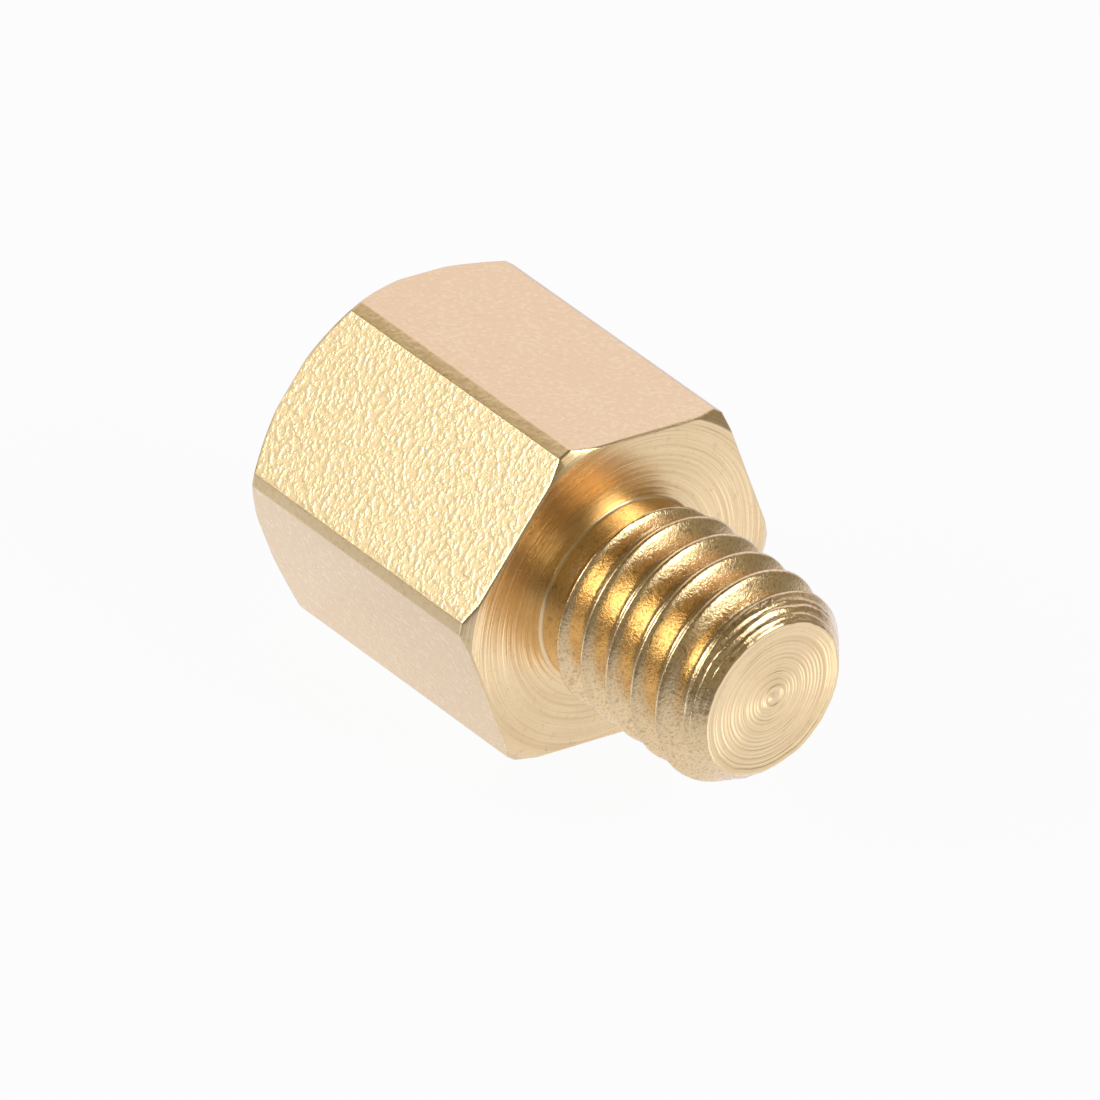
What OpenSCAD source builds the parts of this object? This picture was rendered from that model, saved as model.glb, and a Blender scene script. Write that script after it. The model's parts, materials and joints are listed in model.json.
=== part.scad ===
// Male-female hex standoff: one piece of brass bar, turned at both ends.
// It lies on one of its flats. The stud points along +X, +Z is up, and the origin is on the
// stud's axis in the plane of the shoulder. All sizes are in millimetres.

/* [Hex body] */
// Width of the hex bar across its flats
across_flats = 4.7; // [4:0.1:6]
// Length of the hex body, from the shoulder to the mouth face
body_length = 4.6; // [4.4:0.1:20]
// Radius along the six long edges of the drawn bar
edge_radius = 0.22; // [0.1:0.02:0.3]

/* [Turned ends of the body] */
// How much wider than the flats the turned circle of the mouth face is
mouth_face_over = 0.06; // [0.02:0.02:0.3]
// Angle of the chamfer at the mouth end, measured from the mouth face
mouth_chamfer_angle = 38; // [25:1:50]
// How much wider than the flats the turned circle of the shoulder is
shoulder_face_over = 0.36; // [0.2:0.02:0.5]
// Angle of the chamfer at the shoulder end, measured from the shoulder
shoulder_chamfer_angle = 28; // [20:1:45]

/* [Thread] */
// Nominal size of the thread on the stud and in the hole
thread_size = 3; // [2.6:0.1:3.4]
// Pitch of the thread
thread_pitch = 0.5; // [0.35:0.05:0.6]
// How much smaller than nominal the stud's crests are
crest_allowance = 0.02; // [0:0.01:0.08]

/* [Stud] */
// Length of the stud, from the shoulder to its end face
stud_length = 3.1; // [2.4:0.1:12]
// Length of the plain neck between the shoulder and the first crest
neck_length = 0.34; // [0.26:0.02:0.6]
// How far the shoulder's seat stays outside the crests
seat_relief = 0.02; // [0.01:0.01:0.08]
// Angle at which the crests rise out of the neck, measured from the axis
runout_angle = 45; // [30:5:60]
// Depth of the chamfer on the stud's end, across the axis
point_depth = 0.37; // [0.2:0.01:0.5]
// Length of the chamfer on the stud's end, along the axis
point_length = 0.45; // [0.2:0.05:0.6]

/* [Tapped hole] */
// Depth of the hole's full diameter below the mouth face
hole_depth = 3.5; // [2:0.1:3.8]
// Angle of the drill's point
drill_point_angle = 118; // [90:2:140]
// How much wider than the thread the countersink is at the mouth face
countersink_over = 0.3; // [0.1:0.05:0.6]
// Angle of the countersink
countersink_angle = 90; // [60:5:120]

/* [Hidden] */
$fn = 96;

// The cutters that make a through face run past it by this much
overrun = 1;

// Thread sizes that follow from its nominal size and pitch
crest_diameter = thread_size - crest_allowance;
neck_diameter = thread_size - 0.6495 * thread_pitch; // the blank that a thread is rolled on
drill_diameter = thread_size - thread_pitch;

// The bar is turned on a radius that clears its corners
corner_radius = across_flats / 2 / cos(30);
mouth_face_radius = (across_flats + mouth_face_over) / 2;
shoulder_face_radius = (across_flats + shoulder_face_over) / 2;
mouth_chamfer_length = (corner_radius - mouth_face_radius) * tan(mouth_chamfer_angle);
shoulder_chamfer_length = (corner_radius - shoulder_face_radius) * tan(shoulder_chamfer_angle);

// The fillet under the first crest ends where the shoulder's seat begins
crest_radius = crest_diameter / 2;
neck_radius = neck_diameter / 2;
seat_radius = crest_radius + seat_relief;
fillet_radius = seat_radius - neck_radius;
runout_length = (crest_radius - neck_radius) / tan(runout_angle);

// The hole's radii and the depths of its two cones
drill_radius = drill_diameter / 2;
countersink_radius = (thread_size + countersink_over) / 2;
countersink_depth = (countersink_radius - drill_radius) / tan(countersink_angle / 2);
drill_point_length = drill_radius / tan(drill_point_angle / 2);

// Section of the drawn bar: straight flats joined by a round at each corner
module bar_section() {
    round_centre = corner_radius - edge_radius / cos(30);
    flat_width = 2 * round_centre * sin(30);
    circle(r = round_centre, $fn = 6);
    for (corner = [0:60:300])
        rotate(corner)
            translate([round_centre, 0])
                circle(r = edge_radius);
    for (flat = [30:60:150])
        rotate(flat)
            square([across_flats, flat_width], center = true);
}

// The bar, long enough for both the body and the stud, with a flat below
module hex_bar() {
    translate([0, 0, -body_length])
        linear_extrude(body_length + stud_length)
            rotate(30)
                bar_section();
}

// Half section of what the lathe leaves: the body's two chamfers, the shoulder and the stud
module turned_section() {
    polygon([
        [0, -body_length],
        [mouth_face_radius, -body_length],
        [corner_radius, -body_length + mouth_chamfer_length],
        [corner_radius, -shoulder_chamfer_length],
        [shoulder_face_radius, 0],
        [neck_radius, 0],
        [neck_radius, neck_length],
        [crest_radius, neck_length + runout_length],
        [crest_radius, stud_length - point_length],
        [crest_radius - point_depth, stud_length],
        [0, stud_length],
    ]);
    // Fillet in the corner between the shoulder and the neck
    difference() {
        translate([neck_radius, 0])
            square(fillet_radius);
        translate([seat_radius, fillet_radius])
            circle(r = fillet_radius);
    }
}

// Half section of the drilled and countersunk hole, from its point to past the mouth face
module hole_section() {
    mouth = -body_length;
    bottom = mouth + hole_depth;
    mouth_overrun_radius = countersink_radius + overrun * tan(countersink_angle / 2);
    polygon([
        [0, mouth - overrun],
        [mouth_overrun_radius, mouth - overrun],
        [drill_radius, mouth + countersink_depth],
        [drill_radius, bottom],
        [0, bottom + drill_point_length],
    ]);
}

// The whole standoff, turned so that its axis lies along X
module standoff() {
    color([0.84, 0.70, 0.42])
        rotate([0, 90, 0])
            difference() {
                intersection() {
                    hex_bar();
                    rotate_extrude()
                        turned_section();
                }
                rotate_extrude()
                    hole_section();
            }
}

standoff();
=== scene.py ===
# %% [markdown]
# A brass hex standoff, modelled and lit in Blender.
#
# A standoff is a spacer that screws together. This one is a short length of hex bar: a stud is turned and
# threaded at one end, and a hole is drilled and tapped in the other. It is one piece of metal, so the
# lesson makes one closed mesh, gives each machined zone its own finish, and lights it like a product on
# white acrylic.
#
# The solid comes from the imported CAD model, which fixes its place and size. The mesh made here stands for
# that solid, because it adds what the solid leaves out: the thread, softened edges and tool marks.

# %% Load the solid and keep its box
import json
import math

import bpy
from mathutils import Matrix, Quaternion, Vector, noise

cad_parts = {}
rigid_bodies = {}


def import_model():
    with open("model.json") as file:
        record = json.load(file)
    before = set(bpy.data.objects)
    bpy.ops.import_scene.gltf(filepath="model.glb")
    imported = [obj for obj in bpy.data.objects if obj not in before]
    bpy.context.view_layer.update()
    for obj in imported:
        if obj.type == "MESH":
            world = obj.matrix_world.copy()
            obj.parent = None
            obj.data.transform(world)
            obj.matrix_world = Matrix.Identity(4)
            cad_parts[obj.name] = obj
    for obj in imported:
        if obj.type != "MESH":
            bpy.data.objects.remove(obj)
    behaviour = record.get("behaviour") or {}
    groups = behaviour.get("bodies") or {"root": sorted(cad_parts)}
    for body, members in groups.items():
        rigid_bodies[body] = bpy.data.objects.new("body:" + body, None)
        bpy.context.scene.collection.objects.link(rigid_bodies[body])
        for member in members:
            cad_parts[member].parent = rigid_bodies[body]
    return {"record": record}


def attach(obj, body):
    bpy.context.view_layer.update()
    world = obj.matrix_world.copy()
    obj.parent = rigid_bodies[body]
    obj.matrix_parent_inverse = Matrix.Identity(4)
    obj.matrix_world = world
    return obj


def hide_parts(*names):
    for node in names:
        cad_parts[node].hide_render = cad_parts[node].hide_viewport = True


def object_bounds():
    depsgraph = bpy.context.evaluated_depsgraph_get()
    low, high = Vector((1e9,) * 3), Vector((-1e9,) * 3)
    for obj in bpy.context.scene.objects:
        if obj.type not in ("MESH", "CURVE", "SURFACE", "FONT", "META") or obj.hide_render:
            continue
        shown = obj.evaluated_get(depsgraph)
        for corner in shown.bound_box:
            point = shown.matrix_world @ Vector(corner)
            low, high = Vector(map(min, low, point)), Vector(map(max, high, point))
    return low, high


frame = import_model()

cad_low, cad_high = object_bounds()
print("solid's box in metres:", tuple(cad_low), tuple(cad_high))

# %% [markdown]
# Sizes. A machinist works in millimetres, so the mesh is made in millimetres and scaled to metres at the
# end. What the solid can tell is read from it: its box gives the bar and the lengths, and its mounts give
# the radii of the thread's crests and of the drilled hole. The small turned sizes are written here as
# named values.

# %% Sizes of the bar, the stud and the hole
MM = 0.001
mounts = {mount["name"]: mount for mount in frame["record"]["mounts"]}
half_flats = cad_high.z / MM
body_length = -cad_low.x / MM
stud_length = cad_high.x / MM
crest_radius = mounts["stud"]["dims"]["r_mm"]
drill_radius = mounts["tapped_hole"]["dims"]["r_mm"]
thread_pitch = 0.5
thread_radius = 1.5
print(f"bar {2 * half_flats:.2f} mm across flats, body {body_length:.2f} mm, stud {stud_length:.2f} mm")

# %% [markdown]
# The columns. Everything on a turned part goes round one axis, so the mesh is a stack of rings that all
# share the same columns, and any ring can be joined to the next. A column is an angle about the axis,
# with the distance from the axis to the bar's surface at that angle. The bar's long edges are narrow flat
# bands with a small round on each side. Equal angles would miss those, so the columns are set closer
# together there.

# %% Columns round the bar
band_half = 0.092
band_round = 0.05
round_steps = 4
edge_steps = 2 * round_steps + 1
flat_steps = 28
sector_steps = edge_steps + flat_steps
sector = math.radians(60)
half_sector = sector / 2
band_out = half_flats / math.cos(half_sector) - band_half * math.tan(half_sector)
round_out = band_out - band_round
round_across = (half_flats - band_round - round_out * math.cos(half_sector)) / math.sin(half_sector)


def bar_columns():
    """Angle and reach of each column: first the band along an edge, then the flat that follows it."""
    columns = []
    band = []
    for way in (-1, 1):
        for step in range(round_steps + 1):
            turn = half_sector * (step / round_steps - (way < 0))
            across = way * round_across + band_round * math.sin(turn)
            band.append((round_out + band_round * math.cos(turn), across))
    flat_start = math.atan2(band[-1][1], band[-1][0])
    for edge in range(6):
        for out, across in band:
            columns.append((edge * sector + math.atan2(across, out), math.hypot(across, out)))
        for step in range(1, flat_steps):
            angle = flat_start + (sector - 2 * flat_start) * step / flat_steps
            columns.append((edge * sector + angle, half_flats / math.cos(angle - half_sector)))
    return columns


columns = bar_columns()
column_count = len(columns)
print("columns:", column_count)

# %% [markdown]
# A small mesh store. Blender can build a mesh from plain lists of points and faces. This store keeps
# both, and with each face the number of its finish. A ring is a list of point numbers, one for each
# column, so joining two rings is a loop over the columns. A face whose corners have run together is
# dropped or becomes a triangle.

# %% The mesh store
FLAT, EDGE, TURNED, END, THREAD, HOLE = range(6)
points = []
faces = []
finishes = []


def add_point(x, radius, angle):
    """Stores a point at x along the axis, at that radius and angle, and gives its number."""
    points.append((x, radius * math.cos(angle), radius * math.sin(angle)))
    return len(points) - 1


def add_face(corners, finish):
    """Stores a face, without the corners that it would use twice in a row."""
    kept = [c for i, c in enumerate(corners) if c != corners[i - 1]]
    if len(kept) > 2:
        faces.append(kept)
        finishes.append(finish)


def add_ring(place):
    """A ring of points. place(angle, reach) gives x and the radius for each column."""
    ring = []
    for angle, reach in columns:
        x, radius = place(angle, reach)
        ring.append(add_point(x, radius, angle))
    return ring


# %% Ways to join rings
def join(ring, following, finish):
    """Faces between two rings, where following comes next on the way from the stud's end to the hole's."""
    for i in range(column_count):
        j = (i + 1) % column_count
        own = finish(i) if callable(finish) else finish
        add_face((ring[i], following[i], following[j], ring[j]), own)


def join_all(rings, finish):
    """Faces between each ring of a list and the next."""
    for ring, following in zip(rings, rings[1:]):
        join(ring, following, finish)


def cap(ring, x, finish, outward):
    """Closes a ring with a fan of triangles round a point on the axis."""
    centre = add_point(x, 0, 0)
    for i in range(column_count):
        j = (i + 1) % column_count
        add_face((centre, ring[i], ring[j]) if outward else (centre, ring[j], ring[i]), finish)


# %% [markdown]
# Soft corners. No machined edge is perfectly sharp, and the thin bright line along an edge is what makes
# metal look real. A bevel modifier could add it, but it struggles where a cone thins out to nothing. Here
# each corner of a column's outline is swapped for a short curve, which stays well shaped even there.

# %% Soft corners on an outline
def between(a, b, share):
    """The point at that share of the way from a to b."""
    return tuple(p + (q - p) * share for p, q in zip(a, b))


def bend(a, corner, b, steps):
    """Points on a curve that leaves a towards the corner and arrives at b from it, both ends included."""
    curve = []
    for step in range(steps + 1):
        t = step / steps
        curve.append(between(between(a, corner, t), between(corner, b, t), t))
    return curve


def soften(before, first, second, after, steps=3, keep=0.35):
    """Rounds two neighbouring corners and keeps the straight stretch between them."""
    near = between(first, second, keep)
    far = between(second, first, keep)
    return bend(before, first, near, steps) + bend(far, second, after, steps)


# %% [markdown]
# The hex body. The bar is turned at both ends, so a cone trims its corners. Seen at one column, the cut
# is easy: the cone starts at the turned circle of the end face, and it reaches the bar's surface further
# back where the bar is wider. Columns near the middle of a flat are inside that circle and keep a plain
# edge. The mouth end's circle is hardly wider than the flats, which is why each flat ends in an arc
# there.

# %% Outlines of the body's two ends
shoulder_circle = half_flats + 0.18
mouth_circle = half_flats + 0.03
shoulder_slope = math.tan(math.radians(28))
mouth_slope = math.tan(math.radians(38))
edge_break = 0.024
edge_reach = 1.6 * edge_break


def shoulder_edge(reach):
    """Outline from the shoulder's face over its edge to the side of the bar, as pairs of x and radius."""
    rim = min(reach, shoulder_circle)
    back = -max(0, reach - shoulder_circle) * shoulder_slope
    return soften((0, rim - edge_reach), (0, rim - edge_break), (back - edge_break, reach),
                  (back - edge_reach, reach))


def mouth_edge(reach):
    """Outline from the side of the bar over its edge to the mouth's face."""
    rim = min(reach, mouth_circle)
    front = -body_length + max(0, reach - mouth_circle) * mouth_slope
    return soften((front + edge_reach, reach), (front + edge_break, reach), (-body_length, rim - edge_break),
                  (-body_length, rim - edge_reach))


# %% Rings of the hex body
near_ends = (0.006, 0.994)
side_places = [near_ends[0]] + [step / 10 for step in range(1, 10)] + [near_ends[1]]


def side(reach, share):
    """A point on the way along the bar, between its two turned ends."""
    return between(shoulder_edge(reach)[-1], mouth_edge(reach)[0], share)


def bar_finish(column):
    """Finish of the strip of the bar that starts at a column."""
    return EDGE if column % sector_steps < edge_steps else FLAT


edge_points = len(shoulder_edge(half_flats))
shoulder_rings = [add_ring(lambda angle, reach: shoulder_edge(reach)[k]) for k in range(edge_points)]
side_rings = [add_ring(lambda angle, reach: side(reach, share)) for share in side_places]
mouth_rings = [add_ring(lambda angle, reach: mouth_edge(reach)[k]) for k in range(edge_points)]
join_all(shoulder_rings, TURNED)
join_all([shoulder_rings[-1]] + side_rings + [mouth_rings[0]], bar_finish)
join_all(mouth_rings, TURNED)
print("faces of the hex body:", len(faces))

# %% [markdown]
# The thread's form. A thread is a ridge that climbs one pitch for each turn. At any place on the stud,
# the share of a pitch since the last crest is therefore found from x and the angle, and a short rule
# gives the height there: straight flanks, a soft crest and a rounder root. Straight flanks matter for the
# look, because light goes from one flank to the other before it leaves, and comes out as the orange spots
# of a brass thread.

# %% Smooth rules for heights
def soft_min(a, b, blend):
    """The smaller of two values, with a round blend where they are close."""
    near = max(blend - abs(a - b), 0) / blend
    return min(a, b) - near * near * blend / 4


def soft_max(a, b, blend):
    """The larger of two values, with a round blend where they are close."""
    return -soft_min(-a, -b, blend)


def ease(value, start, end):
    """0 before start and 1 after end, with a smooth change between them."""
    t = min(max((value - start) / (end - start), 0), 1)
    return t * t * (3 - 2 * t)


def unevenness(angle, waves, seed):
    """Smooth ups and downs round the axis, between about -1 and 1, with about that many in a radian."""
    return noise.noise((waves * math.cos(angle), waves * math.sin(angle), seed))


# %% Height of the stud's thread
thread_depth = 0.6134 * thread_pitch
crest_half = 0.06
root_half = 0.09
crest_angle = math.radians(146.8)
crest_place = 0.926


def ridge(x, angle, crest_soft=0.2, root_soft=0.16):
    """Height of the thread from 0 at its root to 1 at its crest."""
    turns = (x - crest_place) / thread_pitch - (angle - crest_angle) / math.tau
    away = abs(turns - round(turns))
    flank = (0.5 - root_half - away) / (0.5 - root_half - crest_half)
    return soft_max(soft_min(flank, 1, crest_soft), 0, root_soft)


print(f"thread depth {thread_depth:.3f} mm")

# %% [markdown]
# The stud's point. A cone was turned on the bar before the thread was rolled, and the rolling pushed thin
# lips of metal over it and left its rim ragged. A bump could only shade that, so the cone's radius itself
# varies: the rim departs from a circle, and three wavy lips go round it, higher in some places than in
# others.

# %% The ragged cone at the stud's end
point_radius = crest_radius - 0.37
point_length = 0.45
point_slope = (crest_radius - point_radius) / point_length
rim_fade = 0.12
rim_waves = ((0.016, 2.2, 5), (0.014, 6, 1), (0.008, 15, 2))
lips = ((0.24, 0.010, 0.016), (0.16, 0.020, 0.020), (0.085, 0.013, 0.013))
lip_wander = 0.022
lip_flutter = 0.006
lip_least = 0.6


def rim_raggedness(angle):
    """How far the rim of the stud's end departs from a circle, in three kinds of wave."""
    return sum(height * unevenness(angle, waves, seed) for height, waves, seed in rim_waves)


def lip_height(depth, angle):
    """Height of the lips on the cone, at that depth behind the end."""
    total = 0
    for number, (place, height, width) in enumerate(lips):
        centre = place + lip_wander * unevenness(angle, 2.5, 10 + number)
        centre += lip_flutter * unevenness(angle, 13, 20 + number)
        grown = max(lip_least, 0.9 + 0.8 * unevenness(angle, 7, 30 + number))
        total += height * grown * math.exp(-((depth - centre) / width) ** 2)
    return total


def cone_radius(x, angle):
    """Radius of the cone at the stud's end, with its lips."""
    depth = stud_length - x
    ragged = rim_raggedness(angle) * (1 - ease(depth, 0, rim_fade))
    return point_radius + point_slope * depth + ragged + lip_height(depth, angle)


# %% [markdown]
# The stud's surface. The stud has a plain neck by the shoulder, which opens at 45 degrees to the thread's
# full width, as in the solid. The groove is cut into that and runs out over its last turn, so a sharp
# part of a crest is left between the neck and the first whole groove. The cone trims the other end.

# %% Radius of the stud anywhere
neck_radius = thread_radius - 0.6495 * thread_pitch / 2
neck_end = 0.34
fade_start = 0.25
fade_end = 0.72
wear_height = 0.003
groove_blend = 0.03
cone_blend = 0.02


def stud_radius(x, angle):
    """Radius of the stud's surface, where the neck, the thread and the cone at the end meet."""
    blank = neck_radius + max(0, x - neck_end)
    grown = ease(x, fade_start, fade_end)
    groove = crest_radius - thread_depth * grown * (1 - ridge(x, angle))
    wall = soft_min(blank, groove, groove_blend)
    wear = wear_height * grown * noise.noise((12 * x, 4 * math.cos(angle), 4 * math.sin(angle)))
    return min(soft_min(wall, cone_radius(x, angle), cone_blend) + wear, crest_radius)


print(f"neck radius {neck_radius:.3f} mm, point radius {point_radius:.3f} mm")

# %% [markdown]
# The thread's mesh. Flat rings would cut across the crests and leave small steps on them. So the rows of
# this mesh climb with the thread: one turn on, each row has moved up by a pitch and joins the row that
# was there. Where a row would run past the end of the threaded stretch it is held at the end ring, and
# the faces there close up.

# %% A surface whose rows climb with a thread
def threaded_wall(first_ring, last_ring, start, end, pitch_rows, radius_at, finish):
    """Fills the stretch between two rings. start and end are their places, in the order of the join."""
    low, high = min(start, end), max(start, end)
    low_ring, high_ring = (first_ring, last_ring) if start < end else (last_ring, first_ring)
    row_count = math.ceil((high - low) / thread_pitch + 2) * pitch_rows

    def number(row, column):
        angle = columns[column][0]
        x = low + thread_pitch * (row / pitch_rows - 1 + angle / math.tau)
        if x <= low:
            return low_ring[column]
        if x >= high:
            return high_ring[column]
        return add_point(x, radius_at(x, angle), angle)

    rows = [[number(row, column) for column in range(column_count)] for row in range(row_count + pitch_rows)]
    for row in range(row_count - 1):
        for i in range(column_count):
            j = (i + 1) % column_count
            climbed = row + pitch_rows if j == 0 else row
            corners = (rows[row][i], rows[climbed][j], rows[climbed + 1][j], rows[row + 1][i])
            add_face(corners if start > end else corners[::-1], finish)


# %% [markdown]
# The stud's end face. A lathe tool faced it from the rim inwards and left a fine spiral, with a curl of
# metal in the middle where the tool stopped. The spiral is real relief here: the rings are close enough
# together to follow each turn of it, and the tool bit deeper in some places than in others.

# %% Rings of the stud's end
end_break = 0.02
end_dish = 0.03
end_step = 0.0109
end_ring_count = 99
facing_feed = 0.062
mark_height = 0.009
cut_share = 0.8
bite_mean = 0.75
bite_change = 0.5
spiral_start = (0.15, 0.3)
ragged_from = 0.75
rim_steps = 4
curl_height = 0.018
nub_radius = 0.07
curl_radius = 0.15
curl_width = 0.028
curl_angle = math.radians(20)


def facing_mark(radius, angle):
    """Height of the spiral that the facing tool cut: a long slope outwards and a short one back."""
    turns = radius / facing_feed - angle / math.tau + noise.noise((11 * radius, 3, 0))
    bite = bite_mean + bite_change * noise.noise((3 * radius, 1.5 * math.cos(angle), 1.5 * math.sin(angle)))
    share = turns % 1
    step = 0.5 - share / cut_share if share < cut_share else (share - cut_share) / (1 - cut_share) - 0.5
    return mark_height * bite * ease(radius, *spiral_start) * step


def end_face(radius, angle):
    """Place along the axis of the end face: slightly dished, with the spiral and the curl in the middle."""
    dish = end_dish * (1 - (radius / point_radius) ** 10)
    nub = curl_height * math.exp(-(radius / nub_radius) ** 2)
    wound = curl_radius * (1 + 0.25 * math.cos(angle - curl_angle))
    curl = 0.6 * curl_height * math.exp(-((radius - wound) / curl_width) ** 2)
    return stud_length - dish + nub + curl + facing_mark(radius, angle)


def end_point(radius, angle):
    """A point of the end face. Its outer rings take on the rim's ragged outline."""
    share = ease(radius, ragged_from * point_radius, point_radius)
    return end_face(radius, angle), radius + rim_raggedness(angle) * share


def rim_curve(angle):
    """Outline over the rim, from the end face to the cone."""
    rim = point_radius + rim_raggedness(angle)
    return bend(end_point(end_step * end_ring_count, angle), (stud_length, rim),
                (stud_length - end_break, rim + end_break * point_slope), rim_steps)


end_radii = [end_step * (step + 1) for step in range(end_ring_count)]
end_rings = [add_ring(lambda angle, reach: end_point(radius, angle)) for radius in end_radii]
rim_rings = [add_ring(lambda angle, reach: rim_curve(angle)[k]) for k in range(1, rim_steps + 1)]
cap(end_rings[0], end_face(0, 0), END, True)
join_all(end_rings + rim_rings, END)
print("rings of the stud's end:", len(end_rings) + len(rim_rings))

# %% [markdown]
# The rest of the stud. Close flat rings follow the lips on the cone, and the climbing surface takes over
# behind them. A small fillet turns the neck into the shoulder, as the tool's round nose leaves it.

# %% The cone, the thread and the shoulder
point_step = 0.0125
point_ring_count = 18
thread_rows = 24
fillet_radius = 0.05
fillet_steps = 6
shoulder_steps = 5


def fillet(step):
    """A point on the fillet between the neck and the shoulder."""
    turn = math.pi / 2 * step / fillet_steps
    return (fillet_radius * (1 - math.sin(turn)), neck_radius + fillet_radius * (1 - math.cos(turn)))


def shoulder(reach, step):
    """A point on the shoulder's face, from the fillet out to its edge."""
    return between(fillet(fillet_steps), shoulder_edge(reach)[0], step / shoulder_steps)


cone_places = [stud_length - end_break - point_step * (step + 1) for step in range(point_ring_count)]
cone_rings = [add_ring(lambda angle, reach: (x, stud_radius(x, angle))) for x in cone_places]
join_all([rim_rings[-1]] + cone_rings, THREAD)
neck_ring = add_ring(lambda angle, reach: (fillet_radius, stud_radius(fillet_radius, angle)))
threaded_wall(cone_rings[-1], neck_ring, cone_places[-1], fillet_radius, thread_rows, stud_radius, THREAD)
fillet_rings = [add_ring(lambda angle, reach: fillet(step)) for step in range(1, fillet_steps + 1)]
face_rings = [add_ring(lambda angle, reach: shoulder(reach, step)) for step in range(1, shoulder_steps)]
join_all([neck_ring] + fillet_rings + face_rings + [shoulder_rings[0]], TURNED)
print("faces with the stud:", len(faces))

# %% [markdown]
# The tapped hole. It is drilled, countersunk and then tapped, so its thread is cut outwards from the
# drilled wall and fades near the bottom, where the tap's lead ends. The same climbing surface makes it,
# with fewer rows, because less of it shows. The bottom is the cone that a drill leaves.

# %% Shape of the tapped hole
countersink_radius = thread_radius + 0.15
countersink_depth = countersink_radius - drill_radius
hole_depth = 3.5
drill_point = drill_radius / math.tan(math.radians(59))
tap_lead = 0.9
tap_end = 0.15
tap_soft = 0.3
hole_top = -body_length + countersink_depth
hole_bottom = -body_length + hole_depth


def hole_radius(x, angle):
    """Radius of the hole's wall, with the tapped groove cut into it."""
    groove = (thread_radius - drill_radius) * ridge(x, angle, tap_soft, tap_soft)
    cut = ease(hole_bottom - x, tap_end, tap_lead)
    opening = max(0, hole_top - x)
    return drill_radius + max(groove * cut, opening)


# %% Rings of the tapped hole, from the mouth to the drill's point
mouth_steps = 4
hole_rows = 10


def mouth_face(reach, step):
    """A point on the mouth's face, from its edge in to the countersink."""
    rim = (-body_length, countersink_radius + edge_break)
    return between(mouth_edge(reach)[-1], rim, step / mouth_steps)


mouth_face_rings = [add_ring(lambda angle, reach: mouth_face(reach, step))
                    for step in range(1, mouth_steps + 1)]
lip = bend((-body_length, countersink_radius + edge_break), (-body_length, countersink_radius),
           (-body_length + edge_break, countersink_radius - edge_break), 3)[1:]
lip_rings = [add_ring(lambda angle, reach: place) for place in lip]
join_all([mouth_rings[-1]] + mouth_face_rings + lip_rings, TURNED)
bottom_ring = add_ring(lambda angle, reach: (hole_bottom, drill_radius))
threaded_wall(lip_rings[-1], bottom_ring, lip[-1][0], hole_bottom, hole_rows, hole_radius, HOLE)
cone_ring = add_ring(lambda angle, reach: (hole_bottom + 0.7 * drill_point, 0.3 * drill_radius))
join(bottom_ring, cone_ring, HOLE)
cap(cone_ring, hole_bottom + drill_point, HOLE, False)
print("faces of the whole standoff:", len(faces))

# %% [markdown]
# From lists to an object. The lists become one mesh, in metres. Smooth shading lets the light flow over
# the many small faces, and a weighted normal modifier keeps the large flat faces flat right up to their
# soft edges.

# %% Make the mesh object
mesh = bpy.data.meshes.new("turned_standoff")
mesh.from_pydata(points, [], faces)
mesh.transform(Matrix.Scale(MM, 4))
mesh.validate()
mesh.polygons.foreach_set("use_smooth", [True] * len(mesh.polygons))
mesh.polygons.foreach_set("material_index", finishes)
standoff = bpy.data.objects.new("turned_standoff", mesh)
bpy.context.scene.collection.objects.link(standoff)
weights = standoff.modifiers.new("flat_faces_stay_flat", "WEIGHTED_NORMAL")
weights.weight = 100
print("triangles:", sum(len(face.vertices) - 2 for face in mesh.polygons))

# %% Give it the solid's place
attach(standoff, "root")
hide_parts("standoff")

# %% [markdown]
# Finishes. Every zone of the standoff is the same alloy. What tells the zones apart is how each was
# machined, so every finish has its own roughness and its own marks. A texture image could hold such
# marks, but it would need unwrapping and would blur close up. Rules worked out from the place on the part
# stay sharp, so a few helpers make the nodes for them.

# %% Node helpers for numbers and places
def feed(tree, value, socket):
    """Sets a socket to a plain value, or links it if the value is another node's socket."""
    if isinstance(value, bpy.types.NodeSocket):
        tree.links.new(value, socket)
    else:
        socket.default_value = value


def calculate(tree, operation, *values):
    """A maths node. Gives its result."""
    made = tree.nodes.new("ShaderNodeMath")
    made.operation = operation
    for value, socket in zip(values, made.inputs):
        feed(tree, value, socket)
    return made.outputs[0]


def arrows(tree, operation, first, second, output=0):
    """A vector maths node. Gives its result."""
    made = tree.nodes.new("ShaderNodeVectorMath")
    made.operation = operation
    feed(tree, first, made.inputs[0])
    feed(tree, second, made.inputs[1])
    return made.outputs[output]


def place_mm(tree):
    """The place on the part in millimetres: the vector, and its x, y and z."""
    coordinates = tree.nodes.new("ShaderNodeTexCoord")
    scaled = arrows(tree, "MULTIPLY", coordinates.outputs["Object"], (1 / MM, 1 / MM, 1 / MM))
    parts = tree.nodes.new("ShaderNodeSeparateXYZ")
    tree.links.new(scaled, parts.inputs[0])
    return scaled, parts.outputs[0], parts.outputs[1], parts.outputs[2]


# %% Node helpers for patterns
def grain(tree, vector, per_mm, detail=2.0, rough=0.5):
    """Soft noise with that many features to a millimetre, mostly between 0.3 and 0.7."""
    made = tree.nodes.new("ShaderNodeTexNoise")
    made.inputs["Scale"].default_value = per_mm
    made.inputs["Detail"].default_value = detail
    made.inputs["Roughness"].default_value = rough
    tree.links.new(vector, made.inputs["Vector"])
    return made.outputs["Fac"]


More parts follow.
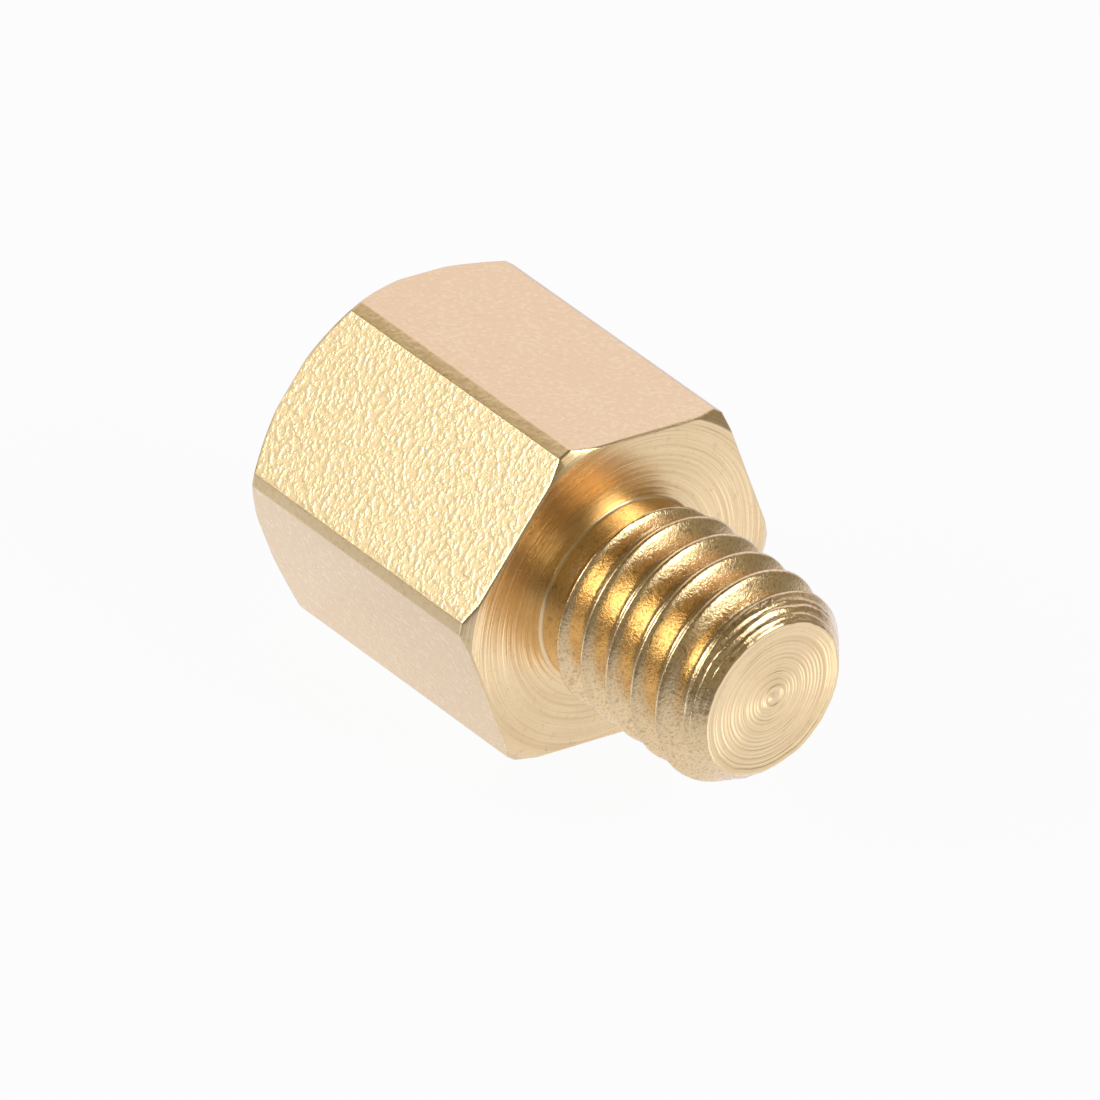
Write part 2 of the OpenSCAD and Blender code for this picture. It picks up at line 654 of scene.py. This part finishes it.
def ramp(tree, value, start, end, low=0.0, high=1.0):
    """Goes smoothly from low to high while the value goes from start to end."""
    made = tree.nodes.new("ShaderNodeMapRange")
    made.interpolation_type = "SMOOTHSTEP"
    for socket, number in zip(made.inputs[1:5], (start, end, low, high)):
        feed(tree, number, socket)
    tree.links.new(value, made.inputs[0])
    return made.outputs[0]


def blend_colours(tree, share, first, second):
    """A colour between two, by a share from 0 to 1."""
    made = tree.nodes.new("ShaderNodeMix")
    made.data_type = "RGBA"
    feed(tree, share, made.inputs[0])
    feed(tree, first, made.inputs[6])
    feed(tree, second, made.inputs[7])
    return made.outputs[2]


def emboss(tree, height, depth_mm):
    """A bump of that depth in millimetres."""
    made = tree.nodes.new("ShaderNodeBump")
    made.inputs["Distance"].default_value = depth_mm * MM
    tree.links.new(height, made.inputs["Height"])
    return made.outputs[0]


# %% [markdown]
# The base. Brass is a full metal with a yellow colour. Handling and storage make it drift a little in
# tone, and leave small dark specks of oil and dust. The marks of the tool are a bump, and they also
# change the gloss a little, because hollows stay duller. Their height also sets a painted shade: the lows
# turn brown and the tops a little lighter. All finishes share this base, and each brings its own marks.

# %% The base of every brass finish
brass_light = (0.91, 0.665, 0.345, 1)
brass_dark = (0.87, 0.62, 0.315, 1)
hollow_shade_colour = (0.64, 0.40, 0.16, 1)
grime_colour = (0.40, 0.26, 0.12, 1)
gloss_change = 0.03


def brass(name, roughness, grime, marks, depth_mm, hollow_shade=0.2):
    """Adds a brass finish. marks gives its tool marks; the last argument is the painted shade in their lows.
    """
    material = bpy.data.materials.new(name)
    material.use_nodes = True
    tree = material.node_tree
    shader = tree.nodes["Principled BSDF"]
    place = place_mm(tree)
    height = marks(tree, place)
    # Painted shade: the marks' height makes their tops a little lighter here, and turns their lows brown
    # below.
    drift = ramp(tree, calculate(tree, "ADD", grain(tree, place[0], 1.4, 3.0), height), 0.75, 1.25)
    fresh = blend_colours(tree, drift, brass_dark, brass_light)
    tone = blend_colours(tree, ramp(tree, height, 0.5, 0.36, 0.0, hollow_shade), fresh, hollow_shade_colour)
    specks = ramp(tree, grain(tree, place[0], 9, 2.0), 0.58, 0.74, 0.0, grime)
    tree.links.new(blend_colours(tree, specks, tone, grime_colour), shader.inputs["Base Color"])
    gloss = ramp(tree, height, 0.3, 0.7, roughness + gloss_change, roughness - gloss_change)
    tree.links.new(gloss, shader.inputs["Roughness"])
    tree.links.new(emboss(tree, height, depth_mm), shader.inputs["Normal"])
    shader.inputs["Metallic"].default_value = 1
    mesh.materials.append(material)
    print("finish:", name)
    return tree, shader


# %% [markdown]
# Drawn flats. The bar was pulled through a die, which left its flats covered with shallow bumps, a little
# longer across the bar than along it. Where a flat faces a lamp, each is a bright or a golden speck, and
# where it faces the plain wall the same bumps hardly show. The narrow bands along the bar's edges were
# burnished by the die, so they are plainer.

# %% Flats and long edges of the bar
def bumps(tree, place):
    """Separate shallow bumps on a smooth ground, a little longer across the bar than along it."""
    squeezed = arrows(tree, "MULTIPLY", place[0], (1.15, 1, 1))
    return ramp(tree, grain(tree, squeezed, 12, 1.5, 0.5), 0.38, 0.78)


def burnish(tree, place):
    """Faint unevenness of a smooth edge."""
    return grain(tree, place[0], 9, 2.0, 0.6)


brass("drawn_flat", 0.24, 0.1, bumps, 0.0036, 0.0)
brass("drawn_edge", 0.31, 0.3, burnish, 0.006)


# %% [markdown]
# Turned faces. A lathe tool leaves fine marks that run round the axis. They spread a highlight outwards
# into a fan, which the shader's anisotropy gives, and single deeper marks show as arcs. The arcs are a
# noise that changes quickly with the distance from the axis and slowly round it.

# %% Shoulder, mouth and the stud's end
def axis_distance(tree, place):
    """Distance from the part's axis in millimetres."""
    return calculate(tree, "SQRT", calculate(tree, "ADD", calculate(tree, "MULTIPLY", place[2], place[2]),
                                             calculate(tree, "MULTIPLY", place[3], place[3])))


def arcs(tree, place, per_mm=16, along=0.05):
    """Noise that changes quickly across the tool's path and slowly along it."""
    radius = axis_distance(tree, place)
    joined = tree.nodes.new("ShaderNodeCombineXYZ")
    feed(tree, radius, joined.inputs[0])
    for socket, side_way in zip(joined.inputs[1:], place[2:]):
        feed(tree, calculate(tree, "MULTIPLY", calculate(tree, "DIVIDE", side_way, radius), along), socket)
    return grain(tree, joined.outputs[0], per_mm, 2.0, 0.6)


def fine_arcs(tree, place):
    """Closer marks that run nearly all the way round."""
    return arcs(tree, place, 24, 0.015)


def brush_round(tree, shader):
    """Stretches highlights across marks that run round the axis."""
    shader.inputs["Anisotropic"].default_value = 0.75
    shader.inputs["Anisotropic Rotation"].default_value = 0.25
    tangent = tree.nodes.new("ShaderNodeTangent")
    tangent.direction_type = "RADIAL"
    tangent.axis = "X"
    tree.links.new(tangent.outputs[0], shader.inputs["Tangent"])


brush_round(*brass("turned_face", 0.28, 0.2, arcs, 0.013))
brush_round(*brass("faced_end", 0.21, 0.1, fine_arcs, 0.005))


# %% [markdown]
# Threads. Rolling leaves the stud's thread bright but a little crumpled, and oil has dried on it in
# specks. The tapped hole was cut, so it is rougher.

# %% Rolled thread and tapped hole
def crumple(tree, place):
    """Fine creases of metal that a die has pressed."""
    return grain(tree, place[0], 27, 3.0, 0.65)


# The thread's last number gives the lows of its creases a strong painted shade.
brass("rolled_thread", 0.17, 0.5, crumple, 0.006, 0.7)
brass("tapped_hole", 0.3, 0.4, burnish, 0.006)

# %% [markdown]
# The camera. The photo was taken from far away with a long lens, a little above the standoff and past its
# stud, with the picture turned by ten degrees. The direction is written as two angles, so that it is easy
# to read, and the lens follows from how many pixels a millimetre covers.

# %% Camera
view_azimuth = math.radians(44.47)
view_elevation = math.radians(29.26)
view_roll = math.radians(10.07)
view_distance = 282 * MM
view_aim = Vector((-0.81, -0.57, 0.29)) * MM
sensor_width = 36
focal_pixels = 21620
picture_pixels = 1100
back = Vector((math.sin(view_azimuth) * math.cos(view_elevation),
               -math.cos(view_azimuth) * math.cos(view_elevation), math.sin(view_elevation)))
camera_data = bpy.data.cameras.new("camera")
camera_data.sensor_width = sensor_width
camera_data.lens = sensor_width * focal_pixels / picture_pixels
camera_data.clip_start = 0.01
camera = bpy.data.objects.new("camera", camera_data)
camera.rotation_mode = "QUATERNION"
camera.location = view_aim + back * view_distance
camera.rotation_quaternion = (-back).to_track_quat("-Z", "Y") @ Quaternion((0, 0, 1), view_roll)
bpy.context.scene.collection.objects.link(camera)
bpy.context.scene.camera = camera
print("camera at", tuple(camera.location))

# %% [markdown]
# The floor. The standoff lies on a glossy white sheet. Seen directly the sheet is white, and it keeps a
# faint shadow. Metal shows what surrounds it, so for mirrored rays the sheet glows with painted light,
# white behind the standoff, with painted shade towards the front and far away. Its gloss mirrors the
# lamps, more so at a flat angle. The brass gets its pale and its dark parts from that. From below the
# sheet is clear, so the underside can be seen.

# %% Floor
bpy.context.scene.view_settings.view_transform = "Standard"
floor_half = 1.0
floor_gap = 0.002 * MM
floor_corners = ((-1, -1), (1, -1), (1, 1), (-1, 1))
floor_mesh = bpy.data.meshes.new("floor")
floor_mesh.from_pydata([(x * floor_half, y * floor_half, 0) for x, y in floor_corners], [], [(0, 1, 2, 3)])
floor = bpy.data.objects.new("floor", floor_mesh)
floor.location.z = cad_low.z - floor_gap
bpy.context.scene.collection.objects.link(floor)
print("floor at", floor.location.z)

# %% What rays of each kind see of the floor
seen_white = 0.95
glow_behind = 1.10
glow_front_painted_shade = 0.15
glow_colour = (0.94, 1.0, 1.22, 1)
front = Vector((0.2, -0.98, 0))
painted_shade_front_fade = (-1.8 * MM, 13.0 * MM)
painted_shade_far_fade = (15.0 * MM, 40.0 * MM)
painted_shade_far_share = 0.25
sheet_roughness = 0.09
sheet_index = 1.9
acrylic = bpy.data.materials.new("white_acrylic")
acrylic.use_nodes = True
tree = acrylic.node_tree
ray = tree.nodes.new("ShaderNodeLightPath")


def glowing(tree, strength, colour):
    """A plain glow of that strength and colour."""
    made = tree.nodes.new("ShaderNodeEmission")
    made.inputs["Color"].default_value = colour
    feed(tree, strength, made.inputs["Strength"])
    return made.outputs[0]


def mix_shaders(tree, share, first, second):
    """A mix of two shaders, by a share from 0 to 1."""
    made = tree.nodes.new("ShaderNodeMixShader")
    feed(tree, share, made.inputs[0])
    tree.links.new(first, made.inputs[1])
    tree.links.new(second, made.inputs[2])
    return made.outputs[0]


paper = tree.nodes["Principled BSDF"]
paper.inputs["Base Color"].default_value = (0.85, 0.85, 0.85, 1)
paper.inputs["Roughness"].default_value = 0.5
direct = mix_shaders(tree, calculate(tree, "MULTIPLY", ray.outputs["Is Camera Ray"], seen_white),
                     paper.outputs[0], glowing(tree, 1.0, (1, 1, 1, 1)))
spot = tree.nodes.new("ShaderNodeTexCoord")
forward = arrows(tree, "DOT_PRODUCT", spot.outputs["Object"], front, 1)
away = arrows(tree, "DISTANCE", spot.outputs["Object"], (0, 0, 0), 1)
# Painted light for mirrored rays: the floor's glow, with painted shade towards the front and far away.
level = calculate(tree, "MULTIPLY", ramp(tree, forward, *painted_shade_front_fade, glow_behind, glow_front_painted_shade),
                  ramp(tree, away, *painted_shade_far_fade, 1.0, painted_shade_far_share))
glow = glowing(tree, level, glow_colour)
gloss = tree.nodes.new("ShaderNodeBsdfAnisotropic")
gloss.inputs["Roughness"].default_value = sheet_roughness
flat_angle = tree.nodes.new("ShaderNodeFresnel")
flat_angle.inputs["IOR"].default_value = sheet_index
mirrored = mix_shaders(tree, flat_angle.outputs[0], glow, gloss.outputs[0])
top_side = mix_shaders(tree, ray.outputs["Is Glossy Ray"], direct, mirrored)
from_below = tree.nodes.new("ShaderNodeNewGeometry").outputs["Backfacing"]
clear = tree.nodes.new("ShaderNodeBsdfTransparent").outputs[0]
tree.links.new(mix_shaders(tree, from_below, top_side, clear),
               tree.nodes["Material Output"].inputs["Surface"])
floor_mesh.materials.append(acrylic)
print("floor nodes:", len(tree.nodes))

# %% [markdown]
# The room. A bright product photo of metal needs dark surroundings too, or the metal looks like cream
# plastic. Behind the standoff stands a white wall, which the top flat mirrors. The rest of the room is
# dim and warm, and darkest overhead. The camera sees the background as plain white.

# %% Room and wall
room_colour = (1.0, 0.94, 0.78, 1)
room_low = 0.29
room_top = 0.17
overhead = (0.45, 0.9)
wall_colour = (0.96, 0.965, 1.26, 1)
wall_towards = Vector((-0.61, 0.62, 0.49)).normalized()
wall_fade = (0.60, 0.88)
world = bpy.data.worlds.new("studio")
bpy.context.scene.world = world
world.use_nodes = True
tree = world.node_tree
direction = tree.nodes.new("ShaderNodeTexCoord").outputs["Generated"]
parts = tree.nodes.new("ShaderNodeSeparateXYZ")
tree.links.new(direction, parts.inputs[0])
ray = tree.nodes.new("ShaderNodeLightPath")
room_level = ramp(tree, parts.outputs[2], *overhead, room_low, room_top)
room = arrows(tree, "MULTIPLY", room_level, room_colour[:3])
on_wall = ramp(tree, arrows(tree, "DOT_PRODUCT", direction, wall_towards, 1), *wall_fade)
mirrored = calculate(tree, "MULTIPLY", on_wall, ray.outputs["Is Glossy Ray"])
surroundings = blend_colours(tree, mirrored, room, wall_colour)
seen = blend_colours(tree, ray.outputs["Is Camera Ray"], surroundings, (1, 1, 1, 1))
tree.links.new(seen, tree.nodes["Background"].inputs["Color"])
print("world nodes:", len(tree.nodes))


# %% [markdown]
# The lamps. Two soft boxes light the standoff. The key stands low at the left front, where the glittering
# flat mirrors it. Two small bright lamps beside it make the orange spots in the thread, one of them by
# way of the floor. The other box stands at the right, with a bright middle, and lights the flanks of the
# thread and, mirrored in the floor, the turned faces. A dim warm lamp overhead gives the bar's long edge
# its olive tone.

# %% Lamps
def softbox(name, direction, width, height, radiance, colour, distance):
    """A lamp with a flat face turned to the standoff, as bright as the radiance says, where 1 is white."""
    lamp = bpy.data.lights.new(name, "AREA")
    lamp.shape = "RECTANGLE"
    lamp.size = width
    lamp.size_y = height
    lamp.energy = radiance * math.pi * width * height
    lamp.color = colour
    placed = bpy.data.objects.new(name, lamp)
    towards = Vector(direction).normalized()
    placed.location = towards * distance
    placed.rotation_mode = "QUATERNION"
    placed.rotation_quaternion = (-towards).to_track_quat("-Z", "Y")
    bpy.context.scene.collection.objects.link(placed)
    print(f"{name}: {lamp.energy:.3f} W")


daylight = (0.85, 0.89, 1.0)
cool = (0.76, 0.85, 1.0)
warm = (1.0, 0.95, 0.55)
softbox("key", (-0.645, -0.710, 0.283), 0.28, 0.13, 0.70, cool, 0.25)
softbox("key_middle", (-0.402, -0.757, 0.515), 0.05, 0.09, 5.0, cool, 0.235)
softbox("key_right", (-0.216, -0.865, 0.454), 0.055, 0.08, 11.0, cool, 0.235)
softbox("side_box", (0.776, 0.306, 0.552), 0.128, 0.15, 2.1, daylight, 0.25)
softbox("side_middle", (0.721, 0.367, 0.588), 0.07, 0.07, 6.5, daylight, 0.24)
softbox("ceiling", (-0.611, -0.112, 0.784), 0.11, 0.11, 0.24, warm, 0.25)
